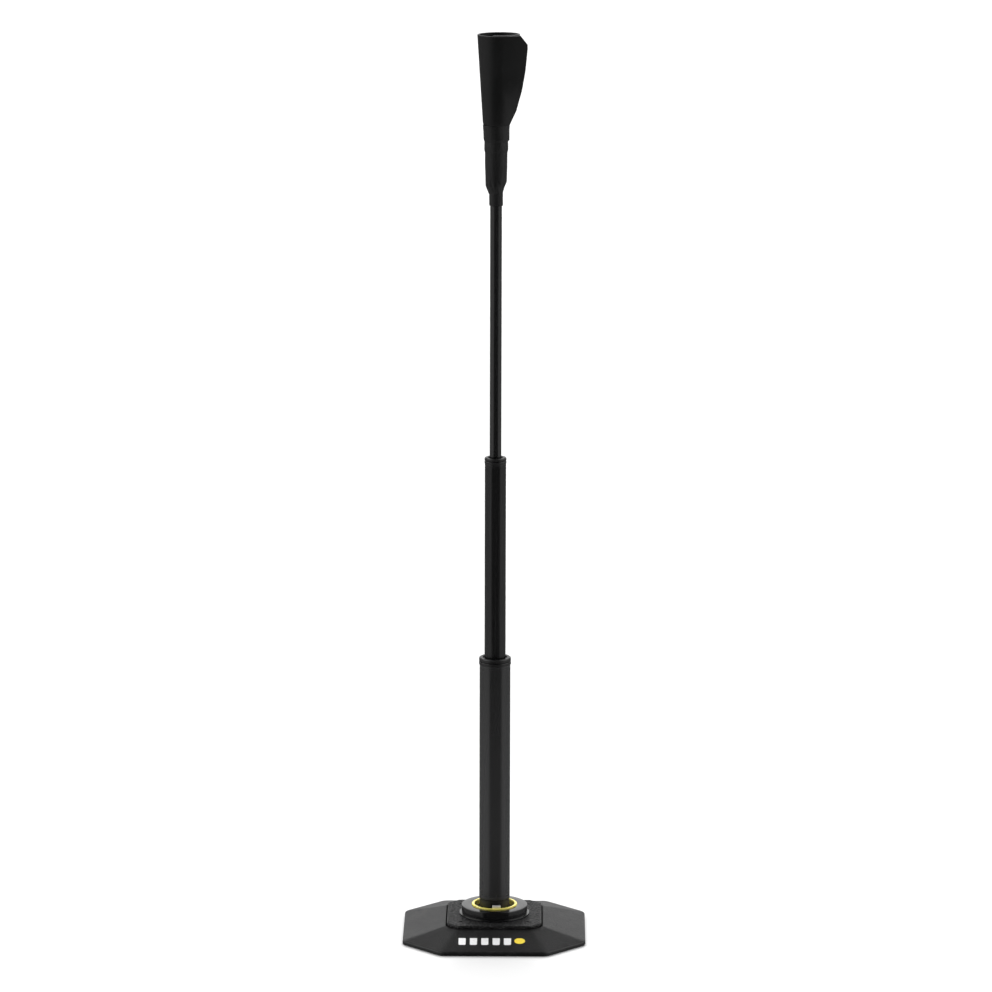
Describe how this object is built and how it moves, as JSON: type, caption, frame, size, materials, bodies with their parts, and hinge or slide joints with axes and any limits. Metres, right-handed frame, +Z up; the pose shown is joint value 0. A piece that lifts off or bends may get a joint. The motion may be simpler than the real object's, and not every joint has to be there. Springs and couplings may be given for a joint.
{
  "type": "batting tee",
  "caption": "Batting tee: weighted octagonal base with a round socket, a telescoping friction-held stem and a rolled rubber ball rest.",
  "frame": {"origin": "on the ground, under the middle of the base", "axes": "+Z up along the stem, -Y is the front, +X is the side where the rolled sheet's loose end stands off"},
  "size_m": [0.22, 0.22, 1.0938],
  "materials": {
    "cover_rubber": "fine grained, matte",
    "weight_iron": "as cast, black primer",
    "pad_rubber": "ribbed, matte",
    "screw_steel": "zinc plated",
    "plate_plastic": "pebbled",
    "housing_plastic": "satin top, polished foot ring",
    "ring_yellow": "smooth",
    "key_steel": "bright",
    "foot_nylon": "moulded",
    "grip_rubber": "smooth",
    "rivet_aluminium": "plain",
    "tube_paint": "satin black powder coat",
    "bush_plastic": "moulded, satin",
    "glide_acetal": "natural acetal",
    "clip_steel": "spring steel",
    "core_rubber": "moulded",
    "clamp_steel": "band",
    "cup_rubber": "rolled sheet, matte",
    "sleeve_plastic": "shrunk sleeve, satin"
  },
  "bodies": {
    "base": {"base_cover": "cover_rubber", "base_weight": "weight_iron", "base_pad": "pad_rubber", "pad_screws": "screw_steel", "socket_plate": "plate_plastic", "plate_screws": "screw_steel", "socket_housing": "housing_plastic", "housing_screws": "screw_steel", "socket_ring": "ring_yellow", "index_key": "key_steel"},
    "lower_stem": {"stem_foot": "foot_nylon", "foot_grip_ring": "grip_rubber", "foot_rivet": "rivet_aluminium", "lower_tube": "tube_paint", "lower_bush": "bush_plastic", "lower_bush_cap": "bush_plastic", "lower_grip_ring": "grip_rubber"},
    "mid_guide": {"mid_glide": "glide_acetal"},
    "mid_stem": {"mid_clip": "clip_steel", "mid_end_plug": "bush_plastic", "mid_tube": "tube_paint", "upper_bush": "bush_plastic", "upper_bush_cap": "bush_plastic", "upper_grip_ring": "grip_rubber"},
    "rod_guide": {"rod_glide": "glide_acetal"},
    "upper_stem": {"rod_clip": "clip_steel", "rod_end_plug": "bush_plastic", "rod": "tube_paint", "cup_core": "core_rubber", "core_clamp": "clamp_steel", "cup_sheet": "cup_rubber", "shrink_sleeve": "sleeve_plastic"}
  },
  "joints": [
    {"name": "stem_lift", "type": "slide", "parent": "base", "child": "lower_stem", "axis": [0, 0, 1], "range_m": [0, 0.06]},
    {"name": "mid_slide", "type": "slide", "parent": "lower_stem", "child": "mid_guide", "axis": [0, 0, 1], "range_m": [-0.23, 0]},
    {"name": "mid_turn", "type": "hinge", "parent": "mid_guide", "child": "mid_stem", "pos_m": [0, 0, 0.3], "axis": [0, 0, 1], "continuous": true},
    {"name": "rod_slide", "type": "slide", "parent": "mid_stem", "child": "rod_guide", "axis": [0, 0, 1], "range_m": [-0.233, 0]},
    {"name": "rod_turn", "type": "hinge", "parent": "rod_guide", "child": "upper_stem", "pos_m": [0, 0, 0.55], "axis": [0, 0, 1], "continuous": true}
  ]
}
